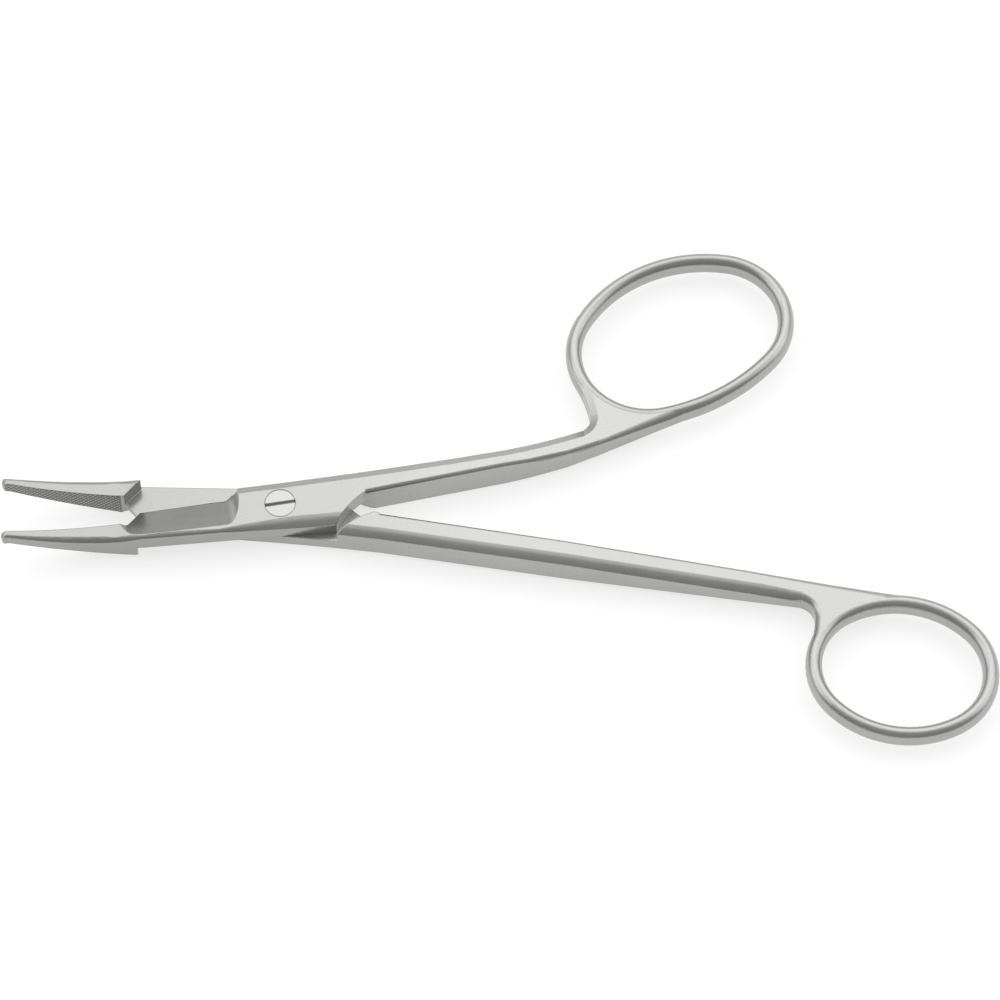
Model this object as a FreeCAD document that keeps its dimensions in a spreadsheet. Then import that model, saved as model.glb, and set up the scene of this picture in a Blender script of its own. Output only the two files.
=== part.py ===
import FreeCAD, Part
import math
import os
import Sketcher
from FreeCAD import Placement, Rotation, Vector

# Combined needle holder and suture scissors, in millimetres.
#
# Two forged halves cross at a lap joint and turn on one slotted screw. Ahead of the screw each half
# carries a scissor blade and a gripping jaw, behind it a shank and a finger ring. Both halves come
# from the same forging die up to the screw, so one function builds either of them.
#
# Working frame of a half: pivot axis on Z, the lap plane at Z = 0 with the joint plate above it,
# the closing plane of the jaws at Y = 0, jaws towards -X and ring towards +X. The back of the blade
# faces -Y and the outer side of the shank faces +Y. The finger half is turned over about X to fit.

doc = FreeCAD.newDocument("NeedleHolder")

# Driving dimensions

DIMENSIONS = [
    ("thickness", 6.4, "full thickness of the joint and shanks"),
    ("jaw_length", 43.9, "pivot axis to the end of the jaws"),
    ("thumb_reach", 61.44, "pivot axis to the near centre of the thumb ring"),
    ("finger_reach", 94.8, "pivot axis to the near centre of the finger ring"),
    ("ring_offset", 21.2, "closing plane to the near centre of a ring"),
    ("thumb_ring_spacing", 12.94, "near centre to far centre of the thumb ring"),
    ("thumb_ring_radius", 11.73, "radius of the thumb ring at its near end"),
    ("finger_ring_spacing", 7.1, "near centre to far centre of the finger ring"),
    ("finger_ring_radius", 10.2, "radius of the finger ring at its near end"),
    ("ring_band", 2.62, "width of a ring's section"),
    ("ring_height", 3.9, "height of a ring's section"),
    ("lap_clearance", 0.02, "each plate is ground this far past the lap plane"),
    ("grip_clearance", 0.02, "each gripping face lies this far behind the closing plane"),
    ("thumb_open", 7.7, "degrees the thumb half is open from the closing plane"),
    ("finger_open", 3.5, "degrees the finger half is open from the closing plane"),
    ("tip_width", 1.05, "width of a jaw at its tip"),
    ("jaw_root", 24.7, "pivot axis to the end of the gripping face at the blade"),
    ("jaw_root_width", 3.32, "width of a jaw at its root"),
    ("jaw_tip_rise", 3.5, "rise of the jaw tip out of the lap plane"),
    ("jaw_tip_thickness", 2.4, "thickness of a jaw at its tip"),
    ("plate_width", 4.6, "pivot axis to the back of the plate"),
    ("plate_end", 8.3, "pivot axis to the end of the back of the plate"),
    ("joint_side", 4.05, "pivot axis to the outer side of the plate"),
    ("blade_reach", 2.8, "cutting edge past the closing plane, at the tip"),
    ("blade_heel_reach", 3.3, "cutting edge past the closing plane, at the heel"),
    ("blade_heel", 8.9, "pivot axis to the heel of the cutting edge"),
    ("blade_edge", 0.12, "thickness of the blade at its cutting edge"),
    ("blade_land", 0.63, "flat left along the back of the blade above its ground face"),
    ("thumb_corner", 0.8, "rounded outer corner of the thumb jaw's shoulder"),
    ("finger_corner", 0.25, "rounded outer corner of the finger jaw's shoulder"),
    ("blade_tip_gap", 0.5, "gap between a blade tip and the other jaw's shoulder"),
    ("grind_radius", 2.4, "run-out radius of the grinding wheel at both ends of the blade"),
    ("jaw_roll_width", 1.2, "rounded back edge of the jaw, across"),
    ("jaw_roll_depth", 0.7, "rounded back edge of the jaw, down"),
    ("blade_roll_width", 0.65, "rounded back edge of the blade, across"),
    ("blade_roll_depth", 0.5, "rounded back edge of the blade, down"),
    ("plate_roll_width", 2.6, "rounded back edge of the joint plate, across"),
    ("plate_roll_depth", 0.85, "rounded back edge of the joint plate, down"),
    ("shank_bevel_width", 1.45, "bevel on the outer side of the shank, across"),
    ("shank_bevel_depth", 0.95, "bevel on the outer side of the shank, down"),
    ("inner_roll", 0.55, "rounded inner edge of the shank"),
    ("screw_head_diameter", 4.8, "head of the pivot screw"),
    ("screw_head_height", 1.4, "height of the screw head"),
    ("screw_diameter", 3.2, "bearing part of the pivot screw"),
    ("screw_clearance", 0.03, "running clearance of the screw, on the radius"),
    ("slot_width", 0.5, "slot of the screw"),
    ("slot_depth", 0.7, "depth of the slot"),
    ("slot_angle", 9.5, "degrees of the slot from +X"),
]

sheet = doc.addObject("Spreadsheet::Sheet", "Dimensions")
for row, (alias, value, note) in enumerate(DIMENSIONS, start=1):
    sheet.set("A%d" % row, alias)
    sheet.set("B%d" % row, repr(value))
    sheet.setAlias("B%d" % row, alias)
    sheet.set("C%d" % row, note)
doc.recompute()


class Size(float):
    """A number that remembers the sheet expression it came from."""

    def __new__(cls, value, text):
        size = float.__new__(cls, value)
        size.text = text
        return size

    def combine(self, other, sign, value, swap=False):
        left, right = (text_of(other), self.text) if swap else (self.text, text_of(other))
        return Size(value, "(%s %s %s)" % (left, sign, right))

    def __add__(self, other):
        return self.combine(other, "+", float(self) + float(other))

    def __radd__(self, other):
        return self.combine(other, "+", float(self) + float(other), swap=True)

    def __sub__(self, other):
        return self.combine(other, "-", float(self) - float(other))

    def __rsub__(self, other):
        return self.combine(other, "-", float(other) - float(self), swap=True)

    def __mul__(self, other):
        return self.combine(other, "*", float(self) * float(other))

    def __rmul__(self, other):
        return self.combine(other, "*", float(self) * float(other), swap=True)

    def __truediv__(self, other):
        return self.combine(other, "/", float(self) / float(other))

    def __neg__(self):
        return Size(-float(self), "(-%s)" % self.text)


def text_of(number):
    return number.text if isinstance(number, Size) else repr(float(number))


def dim(alias):
    return Size(float(sheet.get(alias)), "Dimensions." + alias)


THICKNESS = dim("thickness")
HALF = THICKNESS / 2
BAND = dim("ring_band")
CREST = dim("ring_height") / 2
CLEAR = THICKNESS

# Sketch planes of a body, as placements in its XY plane

FLAT = Placement()
SIDE = Placement(Vector(0, 0, 0), Rotation(Vector(1, 0, 0), Vector(0, 0, 1), Vector(0, -1, 0), "XYZ"))


def across(point, direction=0.0):
    """Upright plane at a point of the plan, its normal turned by direction degrees from +X."""
    turn = Rotation(Vector(0, 0, 1), direction)
    upright = Rotation(Vector(0, 1, 0), Vector(0, 0, 1), Vector(1, 0, 0), "XYZ")
    return Placement(Vector(point[0], point[1], 0), turn.multiply(upright))


def new_sketch(body, name, placement):
    sketch = body.newObject("Sketcher::SketchObject", name)
    plane = next(item for item in body.Origin.OriginFeatures if item.Role == "XY_Plane")
    sketch.AttachmentSupport = (plane, [""])
    sketch.MapMode = "FlatFace"
    sketch.AttachmentOffset = placement
    return sketch


def pin_point(sketch, index, end, point):
    for kind, number in (("DistanceX", point[0]), ("DistanceY", point[1])):
        row = sketch.addConstraint(Sketcher.Constraint(kind, -1, 1, index, end, float(number)))
        if isinstance(number, Size):
            sketch.setExpression("Constraints[%d]" % row, number.text)


def draw_chain(sketch, start, steps):
    """Draw lines and arcs from start: each step is (end,) for a line or (middle, end) for an arc."""
    here = start
    for step in steps:
        a, b = Vector(*here, 0), Vector(*step[-1], 0)
        edge = Part.LineSegment(a, b) if len(step) == 1 else Part.Arc(a, Vector(*step[0], 0), b)
        index = sketch.addGeometry(edge, False)
        first, last = sketch.getPoint(index, 1), sketch.getPoint(index, 2)
        ends = (1, 2) if first.distanceToPoint(a) <= last.distanceToPoint(a) else (2, 1)
        pin_point(sketch, index, ends[0], here)
        pin_point(sketch, index, ends[1], step[-1])
        if len(step) == 2:
            sketch.addConstraint(Sketcher.Constraint("Radius", index, sketch.Geometry[index].Radius))
        here = step[-1]


def feature(body, kind, name, sketch, **settings):
    item = body.newObject("PartDesign::" + kind, name)
    item.Profile = sketch
    for key, value in settings.items():
        setattr(item, key, value)
    return item


# Plane geometry

def polar(centre, radius, angle):
    turn = math.radians(angle)
    return (centre[0] + radius * math.cos(turn), centre[1] + radius * math.sin(turn))


def arc_on(centre, radius, start, end):
    """Arc step along a circle from one angle to another."""
    return (polar(centre, radius, (start + end) / 2), polar(centre, radius, end))


def angle_of(centre, point):
    return math.degrees(math.atan2(point[1] - centre[1], point[0] - centre[0]))


def arc_from(start, angle, end):
    """Arc step that leaves start at an angle and reaches end, and its angle there."""
    chord_angle = angle_of(start, end)
    lean = math.radians(angle - chord_angle)
    half_chord = math.dist(start, end) / 2
    centre = ((start[0] + end[0]) / 2, (start[1] + end[1]) / 2)
    middle = polar(centre, half_chord * math.tan(lean / 2), chord_angle + 90)
    return (middle, end), 2 * chord_angle - angle


def arc_height(start, middle, end, x):
    """Height at x of the circle through three points, on the middle point's side."""
    circle = Part.Circle(Vector(*start, 0), Vector(*middle, 0), Vector(*end, 0))
    side = 1 if middle[1] > circle.Center.y else -1
    return circle.Center.y + side * math.sqrt(circle.Radius ** 2 - (x - circle.Center.x) ** 2)


def line_height(points, x):
    """Height at x on a chain of straight runs, level past its ends."""
    if x <= points[0][0]:
        return points[0][1]
    for a, b in zip(points, points[1:]):
        if x <= b[0]:
            return a[1] + (b[1] - a[1]) * (x - a[0]) / (b[0] - a[0])
    return points[-1][1]


def chain_height(start, steps, x):
    """Height at x on a chain of lines and arcs, level past its ends."""
    here = start
    for step in steps:
        if x <= step[-1][0]:
            x = max(x, float(here[0]))
            return arc_height(here, *step, x) if len(step) == 2 else line_height([here, step[0]], x)
        here = step[-1]
    return here[1]


class Oval:
    """Centreline of a ring: two end circles joined by two side arcs that touch them from outside."""

    def __init__(self, near, spacing, tilt, near_radius, far_radius, upper_radius, lower_radius):
        self.near = Vector(*near, 0)
        self.along = Vector(math.cos(math.radians(tilt)), math.sin(math.radians(tilt)), 0)
        self.far = self.near + self.along * spacing
        self.near_radius = near_radius
        self.far_radius = far_radius
        self.upper_radius = upper_radius
        self.lower_radius = lower_radius
        self.upper = self.side_centre(upper_radius, spacing, 1)
        self.lower = self.side_centre(lower_radius, spacing, -1)

    def side_centre(self, radius, spacing, side):
        a, b = radius - self.near_radius, radius - self.far_radius
        x = (a * a - b * b + spacing * spacing) / (2 * spacing)
        left = Vector(-self.along.y, self.along.x, 0)
        return self.near + self.along * x - left * (side * math.sqrt(a * a - x * x))

    def steps(self):
        """Start point and arcs of the whole oval, from its far end."""
        joints = []
        for side, end, radius in ((self.upper, self.far, self.far_radius),
                                  (self.upper, self.near, self.near_radius),
                                  (self.lower, self.near, self.near_radius),
                                  (self.lower, self.far, self.far_radius)):
            joints.append(end + (end - side).normalize() * radius)
        start = self.far + self.along * self.far_radius
        points = [start] + joints + [start]
        circles = [(self.far, self.far_radius), (self.upper, self.upper_radius),
                   (self.near, self.near_radius), (self.lower, self.lower_radius),
                   (self.far, self.far_radius)]
        loop = []
        for (centre, radius), a, b in zip(circles, points, points[1:]):
            middle = centre + ((a - centre).normalize() + (b - centre).normalize()).normalize() * radius
            loop.append(((middle.x, middle.y), (b.x, b.y)))
        return (start.x, start.y), loop

    def touch_angle(self, point, offset):
        """Angle on the lower side arc where a line from point touches it, moved out by offset."""
        to_centre = self.lower - Vector(*point, 0)
        turn = math.acos((self.lower_radius + offset) / to_centre.Length)
        return math.degrees(math.atan2(-to_centre.y, -to_centre.x) + turn)


# Places shared by both halves

TIP_X = -dim("jaw_length")
TIP_WIDTH = dim("tip_width")
ROOT_X = -dim("jaw_root")
ROOT_WIDTH = dim("jaw_root_width")
HEEL_X = -dim("blade_heel")
JOINT_X = HEEL_X + dim("grind_radius")
JOINT_SIDE = dim("joint_side")
PLATE_END = dim("plate_end")
PLATE_BACK = -dim("plate_width")
GRIP_Y = -dim("grip_clearance")

# Shoulder between jaw and blade: its run towards the joint for its rise to the back wall
SHOULDER_RUN = 2.6
SHOULDER_RISE = 3.3
SHOULDER_SLOPE = SHOULDER_RUN / SHOULDER_RISE

# Back of jaw and blade, from the tip to the end of the plate
JAW_BULGE = 1.3  # of the curve's middle towards the joint
BACK_START = (TIP_X + 0.6, -TIP_WIDTH)
BACK_STEPS = [
    (((TIP_X + ROOT_X) / 2 + JAW_BULGE, -(TIP_WIDTH + ROOT_WIDTH) / 2 - 0.1),
     (ROOT_X + SHOULDER_RUN, -ROOT_WIDTH)),
    ((PLATE_END, PLATE_BACK),),
]

# Hollow behind the plate, where the shank leaves it
HOLLOW_END = (PLATE_END + 4.9, PLATE_BACK + 4.8)
HOLLOW = ((PLATE_END + 2.15, PLATE_BACK + 2.7), HOLLOW_END)

# How far past its centreline a ring hides the wall of the web, as a share of its band
WEB_TOUCH = 0.38
WEB_INNER = 0.12


def front_steps():
    """Outline from the heel of the blade round the jaw to the hollow behind the plate."""
    gap, reach = dim("blade_tip_gap"), dim("blade_reach")
    heel_reach = dim("blade_heel_reach")
    steps = [
        ((HEEL_X + 0.5, heel_reach + 0.7),),
        ((HEEL_X, heel_reach),),
        ((ROOT_X + reach * SHOULDER_SLOPE + gap, reach),),
        ((ROOT_X + gap, GRIP_Y * 0.1),),
        ((ROOT_X - 0.6, GRIP_Y),),
        ((TIP_X + 0.5, GRIP_Y),),
        ((TIP_X, -TIP_WIDTH * 0.45), BACK_START),
    ]
    return steps + BACK_STEPS + [HOLLOW]


def inner_steps(half):
    """Inner side of the shank and web, from the hollow to where the ring takes it in."""
    oval, knee = half["oval"], half["knee"]
    centre, radius = oval.lower, oval.lower_radius + BAND * WEB_TOUCH
    touch = oval.touch_angle(knee[-1][-1], BAND * WEB_TOUCH)
    return knee + [(polar(centre, radius, touch),), arc_on(centre, radius, touch, touch + half["sink"])]


def web_side_steps(half):
    """Outer side of the web, from the shank round the corner to where the ring takes it in."""
    oval, start = half["oval"], half["web_start"]
    sunk = oval.near_radius + BAND * WEB_TOUCH
    hollow = half["web_radius"]
    centre = polar(oval.near, sunk + hollow, half["web_angle"])
    normal = math.radians(half["web_heading"] + 90)
    normal = Vector(math.cos(normal), math.sin(normal), 0)
    reach = Vector(start[0] - centre[0], start[1] - centre[1], 0)
    corner = (hollow ** 2 - reach.Length ** 2) / (2 * (reach.dot(normal) + hollow))
    corner_centre = (start[0] + corner * normal.x, start[1] + corner * normal.y)
    turn = angle_of(centre, corner_centre)
    return [
        arc_on(corner_centre, corner, half["web_heading"] - 90, turn),
        arc_on(centre, hollow, turn, half["web_angle"] - 180),
        arc_on(oval.near, sunk, half["web_angle"], half["web_end_angle"]),
    ]


def backwards(start, steps):
    """The same chain of lines and arcs, run from its end to its start."""
    points = [start] + [step[-1] for step in steps]
    return [step[:-1] + (point,) for step, point in reversed(list(zip(steps, points)))]


def draw_outline(sketch, half):
    """Plan of the half up to its ring: jaw, blade, plate, shank and the web that meets the ring."""
    oval = half["oval"]
    inner = inner_steps(half)
    inset = oval.near_radius + BAND * WEB_INNER
    lower_inset = oval.lower_radius + BAND * WEB_INNER
    joint = angle_of(oval.lower, oval.near) % 360
    last = angle_of(oval.lower, inner[-1][-1]) % 360
    web = web_side_steps(half)
    steps = front_steps() + inner + [
        (polar(oval.lower, lower_inset, last),),
        arc_on(oval.lower, lower_inset, last, joint),
        arc_on(oval.near, inset, joint, half["web_end_angle"]),
        (web[-1][-1],),
    ]
    steps += backwards(half["web_start"], web) + backwards(half["outer_start"], half["outer"])
    draw_chain(sketch, half["outer_start"], steps)


# Side profile: curved jaw, level joint, shank tapering to the ring

NOSE = 1.2  # length of the rounded end of the jaw

# Arcs of the jaw's side profile, each with its middle and its end: x, and depth below the upper
# face or height above the lower face
JAW_TOP = [((-34.5, 0.08), (-27.5, 0.58)), ((-25.75, 0.55), (-24.0, 0.33)), ((-22.25, 0.08), (-20.5, 0.0))]
JAW_UNDER = [((-33.0, 2.4), (-22.0, 0.0))]


def jaw_curves(rise):
    """Upper and lower curve of a jaw that rises (+1) or dips (-1): start and steps, tip first."""
    tip, tip_half = dim("jaw_tip_rise"), dim("jaw_tip_thickness") / 2
    x = TIP_X + NOSE
    top = [tuple((place, HALF - depth) for place, depth in arc) for arc in JAW_TOP]
    under = [tuple((place, -HALF + height) for place, height in arc) for arc in JAW_UNDER]
    high = ((x, tip + tip_half - 0.1), top)
    low = ((x, tip - tip_half - 0.05), under)
    if rise > 0:
        return high, low
    return turned_over(low), turned_over(high)


def turned_over(curve):
    start, steps = curve
    return (start[0], -start[1]), [tuple((x, -z) for x, z in step) for step in steps]


def draw_side_waste(sketch, half):
    """Everything above and below the side profile, as two closed loops."""
    end_x = half["taper"][-1][0] * 2
    curves = jaw_curves(half["rise"])
    middle = (curves[0][0][1] + curves[1][0][1]) / 2
    for (start, steps), sign in zip(curves, (1, -1)):
        nose = (TIP_X - 0.05, middle + sign * 0.3)
        bend = (TIP_X + NOSE * 0.2, start[1] - sign * 0.3)
        taper = [((x, sign * level),) for x, level in half["taper"]]
        close = [((end_x, sign * half["taper"][-1][1]),), ((end_x, sign * CLEAR),)]
        close += [((TIP_X - NOSE, sign * CLEAR),), ((TIP_X - NOSE, nose[1]),), (nose,)]
        draw_chain(sketch, nose, [(bend, start)] + steps + taper + close)


def jaw_level(half, x, sign):
    """Distance of the upper (sign +1) or lower face from the lap plane at x, ahead of the screw."""
    start, steps = jaw_curves(half["rise"])[0 if sign > 0 else 1]
    return sign * chain_height(start, steps, x)


# Edges, each cut by a wedge or a round lofted between stations across the half

def draw_edge(sketch, side, wall, level, width, depth, sign, rolled):
    """What is cut from the corner between a wall and the face above it (sign +1) or below."""
    def at(out, up):
        return (side * (wall + out), sign * (level + up))

    beyond = 0.5
    corner = at(width * beyond, depth * beyond)
    if rolled:
        start, bottom = at(-1.1 * width, 0.02), at(0.02, -1.1 * depth)
        steps = [(at(-0.34 * width, -0.34 * depth), bottom), (at(width * beyond, -1.1 * depth),),
                 (corner,), (start,)]
    else:
        start = at(-width * (1 + beyond), depth * beyond)
        steps = [(at(width * beyond, -depth * (1 + beyond)),), (corner,), (start,)]
    draw_chain(sketch, start, steps)


def cut_edge(body, name, side, stations, sign, rolled):
    """Each station gives x, place of the wall, level of the face, and width and depth of the cut."""
    sketches = []
    for number, (x, wall, level, width, depth) in enumerate(stations):
        sketch = new_sketch(body, "%s_%d" % (name, number), across((x, 0)))
        draw_edge(sketch, side, wall, level, width, depth, sign, rolled)
        sketches.append(sketch)
    return feature(body, "SubtractiveLoft", name, sketches[0], Sections=sketches[1:], Ruled=True)


JAW_STEPS = 7  # runs of the rolled edge along the curved jaw


def roll_back(body, name, half):
    """Rounded edges along the back of the jaw, the blade and, above the lap, the plate."""
    jaw = (dim("jaw_roll_width"), dim("jaw_roll_depth"))
    blade = (dim("blade_roll_width"), dim("blade_roll_depth"))
    plate = (dim("plate_roll_width"), dim("plate_roll_depth"))
    shoulder, middle = ROOT_X + SHOULDER_RUN, (TIP_X + ROOT_X) / 2
    span = shoulder - TIP_X - NOSE
    jaw_places = [TIP_X - 0.6] + [TIP_X + NOSE + span * step / JAW_STEPS for step in range(JAW_STEPS + 1)]
    for place, sign in (("upper", 1), ("lower", -1)):
        stations = []
        for x in jaw_places:
            grown = line_height([(TIP_X, 0.42), (middle, 0.9), (ROOT_X, 1.0)], x)
            shrunk = line_height([(ROOT_X - 2.0, 0.0), (shoulder, 1.0)], x) if sign > 0 else 0.0
            stations.append((x, [grown * a * (1 - shrunk) + b * shrunk for a, b in zip(jaw, blade)]))
        if sign > 0:
            stations += [(HEEL_X - 1.0, blade), (PLATE_END * 0.2, plate), (PLATE_END + 3.0, plate)]
        else:
            stations.append((shoulder + 3.0, jaw))
        cuts = [(x, -chain_height(BACK_START, BACK_STEPS, x), jaw_level(half, x, sign), *cut)
                for x, cut in stations]
        cut_edge(body, "%s_back_edge_%s" % (name, place), -1, cuts, sign, True)


def stops(half, first, places, last):
    """Stations of a shank edge: its ends, the given places and the bends of the taper."""
    bends = [x for x, level in half["taper"]]
    between = {float(x) for x in places + bends if first + 1.0 < x < last - 1.0}
    return [first] + sorted(between) + [last]


def edge_shank(body, name, half):
    """Bevel of the outer side and rounded inner edge of the shank, above and below."""
    width, depth = dim("shank_bevel_width"), dim("shank_bevel_depth")
    roll = dim("inner_roll")
    start_x = half["web_start"][0]
    web = web_side_steps(half)
    for place, sign, begin in (("upper", 1, JOINT_X - 2.0), ("lower", -1, PLATE_END - 2.0)):
        stations = []
        for x in stops(half, begin, half["outer_stations"], start_x + 0.4):
            wide = width * line_height(half["outer_growth"], x)
            wall = chain_height(half["outer_start"], half["outer"], x)
            stations.append((x, wall, line_height(half["taper"], x), wide, depth))
        cut_edge(body, "%s_outer_edge_%s" % (name, place), 1, stations, sign, half["outer_rolled"])
        level = line_height(half["taper"], start_x)
        follow_web(body, "%s_web_edge_%s" % (name, place), half, web, level, sign)
        inner = inner_steps(half)
        stations = []
        growth = half["inner_growth"]
        for x in stops(half, growth[0][0], [place for place, grown in growth], growth[-1][0]):
            grown = line_height(growth, x)
            wall = chain_height(HOLLOW_END, inner, x)
            wide, deep = roll + (width - roll) * grown, roll + (depth - roll) * grown
            stations.append((x, -wall, line_height(half["taper"], x), wide, deep))
        cut_edge(body, "%s_inner_edge_%s" % (name, place), -1, stations, sign, True)


def follow_web(body, name, half, web, level, sign):
    """Carry the outer edge on round the corner and along the web into the ring."""
    width, depth = dim("shank_bevel_width"), dim("shank_bevel_depth")
    heading, lead_in = half["web_heading"], 0.6
    start = polar(half["web_start"], -lead_in, heading)
    path = new_sketch(body, name + "_path", Placement(Vector(0, 0, sign * level), Rotation()))
    draw_chain(path, start, [(half["web_start"],)] + web)
    section = new_sketch(body, name + "_section", across(start, heading))
    draw_edge(section, 1, 0, level, width, depth, sign, half["outer_rolled"])
    return feature(body, "SubtractivePipe", name, section, Spine=(path, []))


# Ground face of the blade, from the land along its back down to the cutting edge

LAND_DROP = 0.03  # of the ground face's upper end below the upper face
GRIND_START = 1.2  # of the trough behind the jaw's root
GRIND_MARGIN = 0.15  # of the trough past the joint's shoulder


def grind_blade(body, name):
    """Slanted trough with the wheel's radius at both ends; it leaves the land and the edge."""
    edge_y = (dim("blade_reach") + dim("blade_heel_reach")) / 2
    edge_z = dim("blade_edge")
    land_y = -ROOT_WIDTH + dim("blade_land")
    land_z = HALF - LAND_DROP
    slant = math.degrees(math.atan2(land_z - edge_z, edge_y - land_y))
    sloped = SIDE.Rotation.multiply(Rotation(Vector(1, 0, 0), -slant))
    sketch = new_sketch(body, name + "_grind", Placement(Vector(0, edge_y, edge_z), sloped))
    radius = dim("grind_radius")
    left, right = ROOT_X + GRIND_START, JOINT_X + GRIND_MARGIN
    start = (left - radius, THICKNESS)
    steps = [
        ((left - radius, radius),),
        arc_on((left, radius), radius, 180, 270),
        ((right - radius, 0.0),),
        arc_on((right - radius, radius), radius, -90, 0),
        ((right, THICKNESS),),
        (start,),
    ]
    draw_chain(sketch, start, steps)
    return feature(body, "Pocket", name + "_blade_bevel", sketch, Midplane=True, Type=1)



def bore(body, name, radius, depth):
    """Round pocket on the pivot axis, cut down from the upper face."""
    sketch = new_sketch(body, name + "_circle", Placement(Vector(0, 0, HALF), Rotation()))
    circle = sketch.addGeometry(Part.Circle(Vector(0, 0, 0), Vector(0, 0, 1), float(radius)), False)
    sketch.addConstraint(Sketcher.Constraint("Coincident", circle, 3, -1, 1))
    row = sketch.addConstraint(Sketcher.Constraint("Radius", circle, float(radius)))
    sketch.setExpression("Constraints[%d]" % row, radius.text)
    return feature(body, "Pocket", name, sketch, Type=0, Length=float(depth))


def add_ring(body, name, oval):
    """Oval section swept round the ring's centreline."""
    start, loop = oval.steps()
    path = new_sketch(body, name + "_ring_path", FLAT)
    draw_chain(path, start, loop)
    upright = Rotation(oval.along, Vector(0, 0, 1), oval.along.cross(Vector(0, 0, 1)), "XYZ")
    section = new_sketch(body, name + "_ring_section", Placement(Vector(*start, 0), upright))
    ellipse = Part.Ellipse(Vector(0, float(CREST), 0), Vector(float(BAND / 2), 0, 0), Vector(0, 0, 0))
    section.addGeometry(ellipse, False)
    return feature(body, "AdditivePipe", name + "_ring", section, Spine=(path, []))


def draw_lap(sketch, corner):
    """Region ground away under the plate, from the jaw's rounded shoulder to the shank's."""
    side = JOINT_SIDE + dim("thickness")
    beyond = 3.0
    lean = math.degrees(math.atan2(SHOULDER_RUN, SHOULDER_RISE))
    back = corner / math.tan(math.radians(90 - lean) / 2)
    centre = (ROOT_X + SHOULDER_RUN - back, corner - SHOULDER_RISE)
    start = (centre[0], -SHOULDER_RISE - beyond)
    steps = [
        (polar(centre, corner, -90),),
        arc_on(centre, corner, -90, lean),
        ((ROOT_X, 0.0),),
        ((ROOT_X - beyond, 0.0),),
        ((ROOT_X - beyond, side),),
        ((PLATE_END - 0.6, side),),
        ((PLATE_END + 0.9, 0.1 - PLATE_BACK),),
        ((PLATE_END + 3.4, -PLATE_BACK - 2.3), (PLATE_END + 6.5, -PLATE_BACK - 4.0)),
        ((PLATE_END + 6.5, PLATE_BACK - beyond),),
        (start,),
    ]
    draw_chain(sketch, start, steps)


def build_half(name, half):
    body = doc.addObject("PartDesign::Body", name)
    body.Label = name
    outline = new_sketch(body, name + "_outline", FLAT)
    draw_outline(outline, half)
    feature(body, "Pad", name + "_blank", outline, Midplane=True, Length=CLEAR * 2)

    side = new_sketch(body, name + "_side", SIDE)
    draw_side_waste(side, half)
    feature(body, "Pocket", name + "_profiled", side, Midplane=True, Type=1)
    roll_back(body, name, half)
    edge_shank(body, name, half)
    grind_blade(body, name)

    lap = new_sketch(body, name + "_lap", Placement(Vector(0, 0, dim("lap_clearance")), Rotation()))
    draw_lap(lap, half["corner"])
    feature(body, "Pocket", name + "_lap_joint", lap, Type=0, Length=CLEAR * 2)
    add_ring(body, name, half["oval"])
    return body


# The two halves, in shares of the pivot-to-ring reach along X and of the ring's offset across

RING_SHIFT = 0.26  # of each ring's near centre from the common offset
THUMB_HEADING = 5.9  # degrees of the thumb shank's outer side where its bend begins
THUMB_TILT, FINGER_TILT = 20.4, 5.4  # degrees of the ovals' long axes from +X
THUMB_UPPER_RADIUS, THUMB_LOWER_RADIUS = 22.9, 32.4  # sides of the thumb oval
FINGER_SIDE_RADIUS = 16.1  # both sides of the finger oval
THUMB_FAR_SHARE = 0.94  # far end of the thumb oval against its near end


def thumb_half():
    reach, offset = dim("thumb_reach"), dim("ring_offset") - RING_SHIFT
    outer = [((reach * 0.26, JOINT_SIDE + offset * 0.017), (reach * 0.586, JOINT_SIDE + offset * 0.057))]
    web_start = (reach * 0.796, JOINT_SIDE + offset * 0.168)
    bend, heading = arc_from(outer[0][1], THUMB_HEADING, web_start)
    return {
        "rise": 1,
        "corner": dim("thumb_corner"),
        "oval": Oval((reach, offset), dim("thumb_ring_spacing"), THUMB_TILT, dim("thumb_ring_radius"),
                     dim("thumb_ring_radius") * THUMB_FAR_SHARE, THUMB_UPPER_RADIUS, THUMB_LOWER_RADIUS),
        "knee": [((reach * 0.651, offset * 0.115),),
                 ((reach * 0.745, offset * 0.153), (reach * 0.838, offset * 0.215))],
        "sink": 4.0,
        "outer_start": (JOINT_X, JOINT_SIDE),
        "outer": outer + [bend],
        "outer_stations": [reach * share for share in (0.0, 0.26, 0.46, 0.586, 0.65, 0.72)],
        "outer_growth": [(reach, 1.0)],
        "outer_rolled": False,
        "inner_growth": [(reach * share, grown) for share, grown in
                         ((0.22, 0.0), (0.651, 0.0), (0.75, 0.05), (0.838, 0.25), (0.93, 0.6),
                          (1.0, 0.95), (1.17, 1.0))],
        "web_start": web_start,
        "web_heading": heading,
        "web_radius": reach * 0.3255,
        "web_angle": 200.0,
        "web_end_angle": 165.0,
        "taper": [(reach * 0.586, HALF), (reach * 0.863, CREST + 0.12), (reach * 1.07, CREST - 0.07)],
    }


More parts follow.
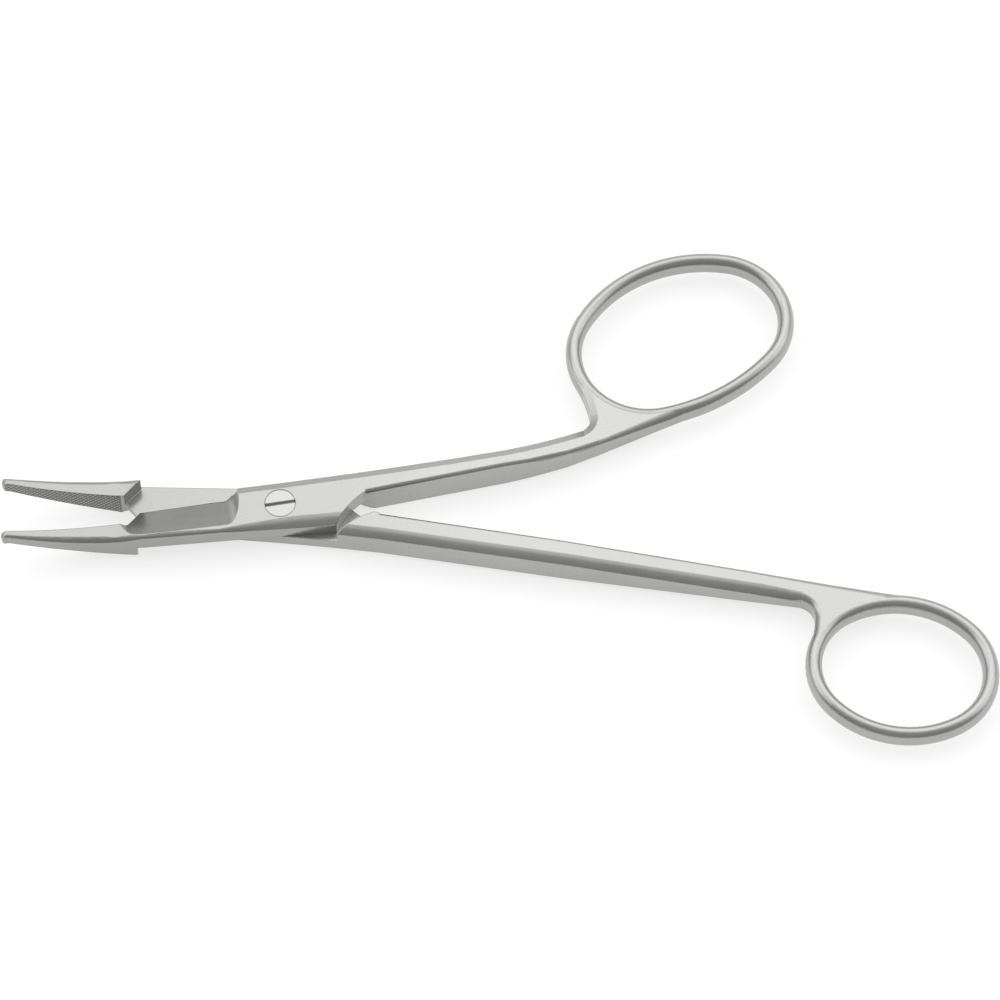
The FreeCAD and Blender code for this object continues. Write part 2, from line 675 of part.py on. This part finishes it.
def finger_half():
    reach, offset = dim("finger_reach"), dim("ring_offset") + RING_SHIFT
    outer = [((reach * 0.053, JOINT_SIDE + offset * 0.016), (reach * 0.169, JOINT_SIDE + offset * 0.044)),
             ((reach * 0.865, JOINT_SIDE + offset * 0.342),)]
    return {
        "rise": -1,
        "corner": dim("finger_corner"),
        "oval": Oval((reach, offset), dim("finger_ring_spacing"), FINGER_TILT, dim("finger_ring_radius"),
                     dim("finger_ring_radius"), FINGER_SIDE_RADIUS, FINGER_SIDE_RADIUS),
        "knee": [((reach * 0.156, offset * 0.028),)],
        "sink": 5.0,
        "outer_start": (JOINT_X, JOINT_SIDE),
        "outer": outer,
        "outer_stations": [reach * share for share in (0.0, 0.053, 0.11, 0.169, 0.8)],
        "outer_growth": [(reach * 0.8, 1.55), (reach * 0.865, 1.0)],
        "outer_rolled": True,
        "inner_growth": [(reach * share, grown) for share, grown in
                         ((0.165, 0.0), (0.474, 0.0), (0.78, 0.2), (0.9, 0.6), (1.0, 0.95), (1.09, 1.0))],
        "web_start": outer[-1][-1],
        "web_heading": angle_of(outer[0][-1], outer[-1][-1]),
        "web_radius": reach * 0.1475,
        "web_angle": 196.0,
        "web_end_angle": 160.0,
        "taper": [(reach * 0.474, HALF), (reach * 0.91, CREST - 0.05), (reach, CREST - 0.07)],
    }



# Pivot screw, in the working frame of the thumb half: flush head on top, flush end underneath

def build_screw():
    body = doc.addObject("PartDesign::Body", "pivot_screw")
    body.Label = "pivot_screw"
    head, stem = dim("screw_head_diameter") / 2, dim("screw_diameter") / 2
    under_head = HALF - dim("screw_head_height")
    flush = dim("lap_clearance")
    top = HALF - flush
    profile = new_sketch(body, "screw_profile", SIDE)
    draw_chain(profile, (0.0, -top), [((stem, -top),), ((stem, under_head),), ((head, under_head),),
                                     ((head, top),), ((0.0, top),), ((0.0, -top),)])
    turned = feature(body, "Revolution", "screw_turned", profile, Angle=360)
    turned.ReferenceAxis = (profile, ["V_Axis"])
    slot_turn = Rotation(Vector(0, 0, 1), dim("slot_angle"))
    slot_floor = Placement(Vector(0, 0, HALF - dim("slot_depth")), slot_turn)
    slot = new_sketch(body, "screw_slot_outline", slot_floor)
    side, end = dim("slot_width") / 2, head + 1.0
    draw_chain(slot, (-end, -side), [((end, -side),), ((end, side),), ((-end, side),), ((-end, -side),)])
    feature(body, "Pocket", "screw_slot", slot, Type=0, Length=HALF, Reversed=True)
    return body


thumb = build_half("thumb_ring_half", thumb_half())
finger = build_half("finger_ring_half", finger_half())
clearance = dim("screw_clearance")
bore(thumb, "head_seat", dim("screw_head_diameter") / 2 + clearance, dim("screw_head_height"))
bore(thumb, "thumb_bore", dim("screw_diameter") / 2 + clearance, THICKNESS)
bore(finger, "finger_bore", dim("screw_diameter") / 2 + clearance, THICKNESS)
screw = build_screw()
doc.recompute()

thumb.Placement = Placement(Vector(0, 0, HALF), Rotation(Vector(0, 0, 1), dim("thumb_open")))
turned_over_x = Rotation(Vector(0, 0, 1), -dim("finger_open")).multiply(Rotation(Vector(1, 0, 0), 180))
finger.Placement = Placement(Vector(0, 0, HALF), turned_over_x)
screw.Placement = Placement(Vector(0, 0, HALF), Rotation())
doc.recompute()

PIECES = (thumb, finger, screw)
for item in doc.Objects:
    if "Invalid" in item.State or "Error" in item.State:
        raise RuntimeError("%s did not build: %s" % (item.Label, item.State))
for body in PIECES:
    if body.Shape.isNull() or not body.Shape.isValid() or len(body.Shape.Solids) != 1:
        raise RuntimeError("%s is not one valid solid" % body.Label)
    print(body.Label, round(body.Shape.Volume, 2), body.Shape.BoundBox)

os.makedirs("parts", exist_ok=True)
for body in PIECES:
    body.Shape.exportStep("parts/%s.step" % body.Label)
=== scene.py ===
import math

import bpy
from mathutils import Matrix, Vector

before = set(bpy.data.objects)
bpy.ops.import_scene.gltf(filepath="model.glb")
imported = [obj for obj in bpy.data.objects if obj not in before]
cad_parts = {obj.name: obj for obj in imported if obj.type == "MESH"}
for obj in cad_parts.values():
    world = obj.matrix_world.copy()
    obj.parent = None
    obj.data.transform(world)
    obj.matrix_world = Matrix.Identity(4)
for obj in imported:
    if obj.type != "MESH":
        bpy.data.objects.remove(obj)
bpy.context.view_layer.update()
scene = bpy.context.scene


# Node helpers

class Tree:
    """A material's node tree, built by short calls."""

    def __init__(self, name):
        self.material = bpy.data.materials.new(name)
        self.material.use_nodes = True
        self.nodes = self.material.node_tree.nodes
        self.links = self.material.node_tree.links
        self.nodes.clear()
        self.output = self.nodes.new("ShaderNodeOutputMaterial")
        self.shader = self.nodes.new("ShaderNodeBsdfPrincipled")
        self.link(self.shader.outputs["BSDF"], self.output.inputs["Surface"])

    def link(self, source, target):
        self.links.new(source, target)

    def feed(self, socket, value):
        if isinstance(value, bpy.types.NodeSocket):
            self.link(value, socket)
        else:
            socket.default_value = value

    def node(self, kind, inputs=None, **settings):
        item = self.nodes.new("ShaderNode" + kind)
        for key, value in settings.items():
            setattr(item, key, value)
        for key, value in (inputs or {}).items():
            self.feed(item.inputs[key], value)
        return item

    def math(self, operation, a, b=0.0):
        item = self.node("Math", operation=operation)
        self.feed(item.inputs[0], a)
        self.feed(item.inputs[1], b)
        return item.outputs[0]

    def times(self, *factors):
        product = factors[0]
        for factor in factors[1:]:
            product = self.math("MULTIPLY", product, factor)
        return product

    def turned(self, turn, output="Object", kind="POINT"):
        """Object coordinates or normals, turned about Z until X runs along the half."""
        place = self.node("TexCoord").outputs[output]
        inputs = {"Vector": place, "Rotation": (0.0, 0.0, turn)}
        return self.node("Mapping", inputs, vector_type=kind).outputs["Vector"]

    def axes(self, vector):
        return self.node("SeparateXYZ", {"Vector": vector}).outputs

    def noise(self, vector, cells, detail):
        """Noise with the given cells per metre along each axis."""
        scaled = self.node("Mapping", {"Vector": vector, "Scale": cells}).outputs["Vector"]
        inputs = {"Vector": scaled, "Scale": 1.0, "Detail": detail, "Roughness": NOISE_ROUGHNESS}
        return self.node("TexNoise", inputs).outputs["Fac"]

    def spread(self, value, low, high, out_low, out_high):
        item = self.node("MapRange", {"Value": value, "From Min": low, "From Max": high,
                                      "To Min": out_low, "To Max": out_high})
        return item.outputs["Result"]

    def bump(self, height, strength, distance, normal):
        inputs = {"Height": height, "Strength": strength, "Distance": distance, "Normal": normal}
        return self.node("Bump", inputs).outputs["Normal"]


# Satin steel: lengths in metres, tones as factors on the base colour

STEEL = (0.412, 0.412, 0.398)
SCREW_STEEL = (0.47, 0.47, 0.457)
ROUGHNESS, SCREW_ROUGHNESS = 0.25, 0.22
THUMB_TURN = math.radians(-7.7)
FINGER_TURN = math.radians(3.5)
SLOT_TURN = math.radians(-9.5)

NOISE_ROUGHNESS = 0.55
BRUSH_CELLS = (900.0, 9000.0, 9000.0)
GRAIN_CELLS = (5200.0, 5200.0, 5200.0)
CLOUD_CELLS = (70.0, 110.0, 110.0)
BRUSH_GLOSS = 0.035
CLOUD_GLOSS = (-0.03, 0.035)
CLOUD_TONE = (0.95, 1.03)
GRAIN_TONE = (0.97, 1.02)
BRUSH_SHARE, GRAIN_SHARE = 0.6, 0.4
FINISH_STRENGTH, FINISH_DEPTH = 0.12, 0.00002

EDGE_RADIUS = 0.00022
EDGE_SAMPLES = 6
EDGE_AGREEMENT = (0.995, 0.8)
WORN_GAIN = 0.16

# Painted shade: darker base colour towards the jaws, along each half, standing in for the light that
# falls off there; fitted to the photo's levels
JAW_PAINTED_SHADE_FROM, JAW_PAINTED_SHADE_TO = -0.03, 0.03
JAW_PAINTED_SHADE = 0.84

# Diamond teeth on the closing faces of the jaws, coarser than in the photo so that they show; painted
# shade darkens the grooves, and the crests a little
GRIP_FROM, GRIP_TO = -0.0434, -0.0252
GRIP_DEPTH = 0.00012
GRIP_FACING = 0.7
TOOTH_PITCH = 0.0008
TOOTH_FLANK = (0.1, 0.6)
# Painted shade on the serrated face: colour factors in the grooves and on the crests
GROOVE_PAINTED_SHADE, CREST_PAINTED_SHADE = 0.2, 0.95
TOOTH_STRENGTH, TOOTH_DEPTH = 0.5, 0.00015


def soft_edges(tree):
    """Normal with finely rounded edges, and how much of an edge lies at the point, from 0 to 1."""
    rounded = tree.node("Bevel", {"Radius": EDGE_RADIUS}, samples=EDGE_SAMPLES).outputs["Normal"]
    true = tree.node("NewGeometry").outputs["Normal"]
    agree = tree.node("VectorMath", operation="DOT_PRODUCT")
    tree.link(rounded, agree.inputs[0])
    tree.link(true, agree.inputs[1])
    return rounded, tree.spread(agree.outputs["Value"], *EDGE_AGREEMENT, 0.0, 1.0)


def gripping_face(tree, turn, side):
    """Where the serrated face of a jaw lies, from 0 to 1, and the height of its diamond teeth."""
    place = tree.axes(tree.turned(turn))
    outward = tree.axes(tree.turned(turn, "Normal", "NORMAL"))["Y"]
    near = tree.math("LESS_THAN", tree.math("ABSOLUTE", place["Y"]), GRIP_DEPTH)
    behind_tip = tree.math("GREATER_THAN", place["X"], GRIP_FROM)
    before_root = tree.math("LESS_THAN", place["X"], GRIP_TO)
    facing = tree.math("GREATER_THAN", tree.times(outward, side), GRIP_FACING)
    mask = tree.times(near, behind_tip, before_root, facing)
    rows = []
    for operation in ("ADD", "SUBTRACT"):
        row = tree.math(operation, place["X"], place["Z"])
        wave = tree.math("PINGPONG", row, TOOTH_PITCH / 2)
        rows.append(tree.math("DIVIDE", wave, TOOTH_PITCH / 2))
    return mask, tree.math("MINIMUM", *rows)


def satin_steel(name, base, turn, rough=ROUGHNESS, grip_side=0.0):
    """Fine satin finish: brushed along one direction, with soft handling marks, pale worn edges and
    painted shade towards the jaws; with a grip side, toothed jaws whose grooves get painted shade.
    """
    tree = Tree(name)
    rounded, edge = soft_edges(tree)
    along = tree.turned(turn)
    brushed = tree.noise(along, BRUSH_CELLS, 3.0)
    grain = tree.noise(tree.turned(0.0), GRAIN_CELLS, 2.0)
    cloud = tree.noise(along, CLOUD_CELLS, 3.0)
    fine_gloss = tree.spread(brushed, 0.3, 0.7, -BRUSH_GLOSS, BRUSH_GLOSS)
    broad_gloss = tree.spread(cloud, 0.35, 0.65, rough + CLOUD_GLOSS[0], rough + CLOUD_GLOSS[1])
    shade = tree.times(
        tree.spread(cloud, 0.3, 0.7, *CLOUD_TONE),
        tree.spread(grain, 0.3, 0.7, *GRAIN_TONE),
        tree.math("ADD", 1.0, tree.times(edge, WORN_GAIN)),
        # painted shade towards the jaws, standing in for light that falls off there
        tree.spread(tree.axes(along)["X"], JAW_PAINTED_SHADE_FROM, JAW_PAINTED_SHADE_TO, JAW_PAINTED_SHADE, 1.0),
    )
    height = tree.math("ADD", tree.times(brushed, BRUSH_SHARE), tree.times(grain, GRAIN_SHARE))
    normal = tree.bump(height, FINISH_STRENGTH, FINISH_DEPTH, rounded)
    if grip_side:
        mask, tooth = gripping_face(tree, turn, grip_side)
        # Painted shade: darker grooves between the teeth, and a darker serrated face
        tooth_painted_shade = tree.spread(tooth, *TOOTH_FLANK, GROOVE_PAINTED_SHADE, CREST_PAINTED_SHADE)
        grip_painted_shade = tree.times(mask, tree.math("SUBTRACT", tooth_painted_shade, 1.0))
        shade = tree.times(shade, tree.math("ADD", 1.0, grip_painted_shade))
        normal = tree.bump(tree.times(tooth, mask), TOOTH_STRENGTH, TOOTH_DEPTH, normal)
    colour = tree.node("Mix", data_type="RGBA", blend_type="MULTIPLY")
    colour.inputs["Factor"].default_value = 1.0
    colour.inputs["A"].default_value = (*base, 1.0)
    grey = tree.node("CombineColor", {"Red": shade, "Green": shade, "Blue": shade})
    tree.link(grey.outputs["Color"], colour.inputs["B"])
    tree.link(colour.outputs["Result"], tree.shader.inputs["Base Color"])
    tree.shader.inputs["Metallic"].default_value = 1.0
    tree.link(tree.math("ADD", fine_gloss, broad_gloss), tree.shader.inputs["Roughness"])
    tree.link(normal, tree.shader.inputs["Normal"])
    return tree.material


finishes = {
    "thumb_ring_half": satin_steel("thumb_half_satin_steel", STEEL, THUMB_TURN, grip_side=1.0),
    "finger_ring_half": satin_steel("finger_half_satin_steel", STEEL, FINGER_TURN, grip_side=-1.0),
    "pivot_screw": satin_steel("screw_satin_steel", SCREW_STEEL, SLOT_TURN, rough=SCREW_ROUGHNESS),
}
for name, material in finishes.items():
    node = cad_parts[name]
    node.data.materials.clear()
    node.data.materials.append(material)


# Floor: mostly lit from within, like a light table, to be as white as the photo's cut-out ground

FLOOR_SIZE = 6.0
FLOOR_GREY = 0.36
FLOOR_GLOW = 0.68


def light_table(name):
    tree = Tree(name)
    tree.shader.inputs["Base Color"].default_value = (FLOOR_GREY, FLOOR_GREY, FLOOR_GREY, 1.0)
    tree.shader.inputs["Roughness"].default_value = 1.0
    tree.shader.inputs["Specular IOR Level"].default_value = 0.0
    tree.shader.inputs["Emission Color"].default_value = (1.0, 1.0, 1.0, 1.0)
    tree.shader.inputs["Emission Strength"].default_value = FLOOR_GLOW
    return tree.material


bpy.ops.mesh.primitive_plane_add(size=FLOOR_SIZE, location=(0.0, 0.0, 0.0))
floor = bpy.context.object
floor.name = "studio_floor"
floor.data.materials.append(light_table("studio_floor_white"))


# Light: a soft box on each side in a white studio

BOX_AIM = (0.035, 0.0, 0.0)
BOX_SIZE = (0.8, 1.0)
BOX_WATTS = 1.6


def soft_box(name, place):
    data = bpy.data.lights.new(name, "AREA")
    data.shape = "RECTANGLE"
    data.size, data.size_y = BOX_SIZE
    data.energy = BOX_WATTS
    lamp = bpy.data.objects.new(name, data)
    lamp.location = place
    lamp.rotation_mode = "QUATERNION"
    lamp.rotation_quaternion = (Vector(BOX_AIM) - Vector(place)).to_track_quat("-Z", "Y")
    scene.collection.objects.link(lamp)


soft_box("left_box", (-1.1, 0.1, 0.7))
soft_box("right_box", (1.2, 0.0, 0.6))

# Strength of the studio's light: factor on a direction's Y or Z, offset, and limits
HORIZON = (0.1, 0.4)
ABOVE = (1.5, 1.17, 0.5, 2.0)
HEIGHT = (1.2, 0.0, 0.0, 1.0)


def studio_world():
    """White studio: bright above and behind the tool, dimmer in front and along the horizon."""
    world = bpy.data.worlds.new("studio_world")
    world.use_nodes = True
    nodes, links = world.node_tree.nodes, world.node_tree.links
    background = nodes["Background"]

    def slope(value, factor, offset, low=None, high=None):
        item = nodes.new("ShaderNodeMath")
        item.operation = "MULTIPLY_ADD"
        links.new(value, item.inputs[0])
        item.inputs[1].default_value = factor
        item.inputs[2].default_value = offset
        if low is None:
            return item.outputs[0]
        limit = nodes.new("ShaderNodeClamp")
        links.new(item.outputs[0], limit.inputs["Value"])
        limit.inputs["Min"].default_value = low
        limit.inputs["Max"].default_value = high
        return limit.outputs["Result"]

    direction = nodes.new("ShaderNodeSeparateXYZ")
    links.new(nodes.new("ShaderNodeTexCoord").outputs["Generated"], direction.inputs["Vector"])
    blend = nodes.new("ShaderNodeMix")
    links.new(slope(direction.outputs["Z"], *HEIGHT), blend.inputs["Factor"])
    links.new(slope(direction.outputs["Y"], *HORIZON), blend.inputs["A"])
    links.new(slope(direction.outputs["Y"], *ABOVE), blend.inputs["B"])
    links.new(blend.outputs["Result"], background.inputs["Strength"])
    background.inputs["Color"].default_value = (1.0, 1.0, 1.0, 1.0)
    return world


scene.world = studio_world()
scene.view_settings.view_transform = "Standard"


# Camera: a long lens, 29 degrees from straight above

TILT = math.radians(29.0)
CAMERA_PLACE = (0.034524, -0.380109, 0.693135)
LENS, SENSOR = 180.0, 36.0
NEAR, FAR = 0.05, 20.0

camera_data = bpy.data.cameras.new("camera")
camera_data.lens = LENS
camera_data.sensor_width = SENSOR
camera_data.clip_start = NEAR
camera_data.clip_end = FAR
camera = bpy.data.objects.new("camera", camera_data)
scene.collection.objects.link(camera)
right = Vector((1.0, 0.0, 0.0))
up = Vector((0.0, math.cos(TILT), math.sin(TILT)))
camera_turn = Matrix((right, up, right.cross(up))).transposed().to_4x4()
camera.matrix_world = Matrix.Translation(CAMERA_PLACE) @ camera_turn
scene.camera = camera
